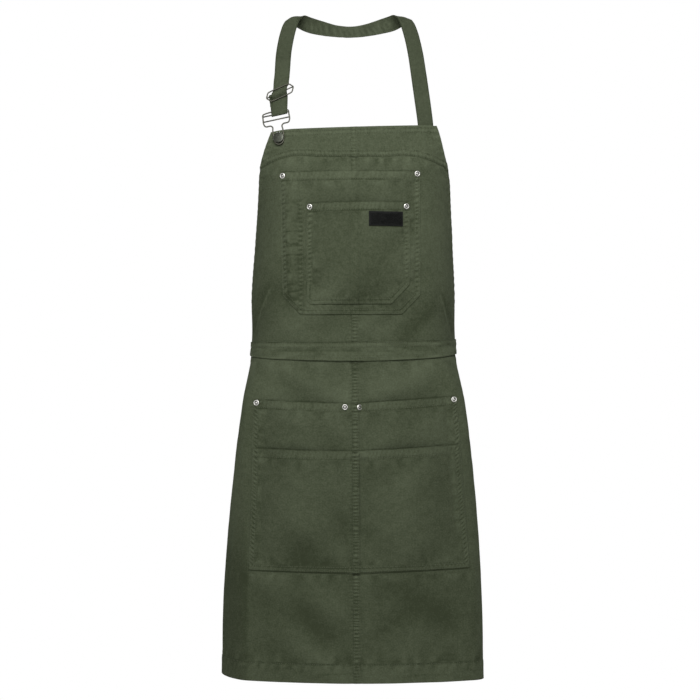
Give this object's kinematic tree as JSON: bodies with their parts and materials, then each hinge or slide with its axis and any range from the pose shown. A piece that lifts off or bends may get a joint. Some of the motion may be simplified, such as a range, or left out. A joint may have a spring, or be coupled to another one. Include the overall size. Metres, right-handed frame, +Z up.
{
  "type": "tool apron",
  "caption": "Bib tool apron of olive cotton twill in its worn form, with stacked bib and skirt pockets, a neck strap with slider and buckle, and riveted corners",
  "frame": {"origin": "at the nape of the neck, on the inner face of the strap, where the apron hangs", "axes": "+Z up, -Y out of the front of the apron, +X to the right as the front is looked at"},
  "size_m": [0.3999, 0.2119, 1.0205],
  "materials": {
    "twill": "matt cotton twill",
    "webbing": "matt cotton strap",
    "hook_and_loop": "fuzzy loop",
    "nickel": "bright nickel plate",
    "gunmetal": "dark gunmetal, satin"
  },
  "bodies": {
    "root": {"yoke_left": "twill", "yoke_right": "twill", "bib_left": "twill", "bib_right": "twill", "skirt_left": "twill", "skirt_right": "twill", "waistband": "twill", "bib_pocket_large": "twill", "bib_pocket_small": "twill", "skirt_pocket_back_left": "twill", "skirt_pocket_back_right": "twill", "skirt_pocket_front_left": "twill", "skirt_pocket_front_right": "twill", "neck_strap": "webbing", "loop_patch": "hook_and_loop", "bib_buckle": "nickel", "strap_slider": "nickel", "bib_button": "gunmetal", "rivet_large_pocket_left": "nickel", "rivet_large_pocket_right": "nickel", "rivet_small_pocket_left": "nickel", "rivet_small_pocket_right": "nickel", "rivet_skirt_left_outer": "nickel", "rivet_skirt_left_inner": "nickel", "rivet_skirt_right_inner": "nickel", "rivet_skirt_right_outer": "nickel"}
  },
  "joints": []
}
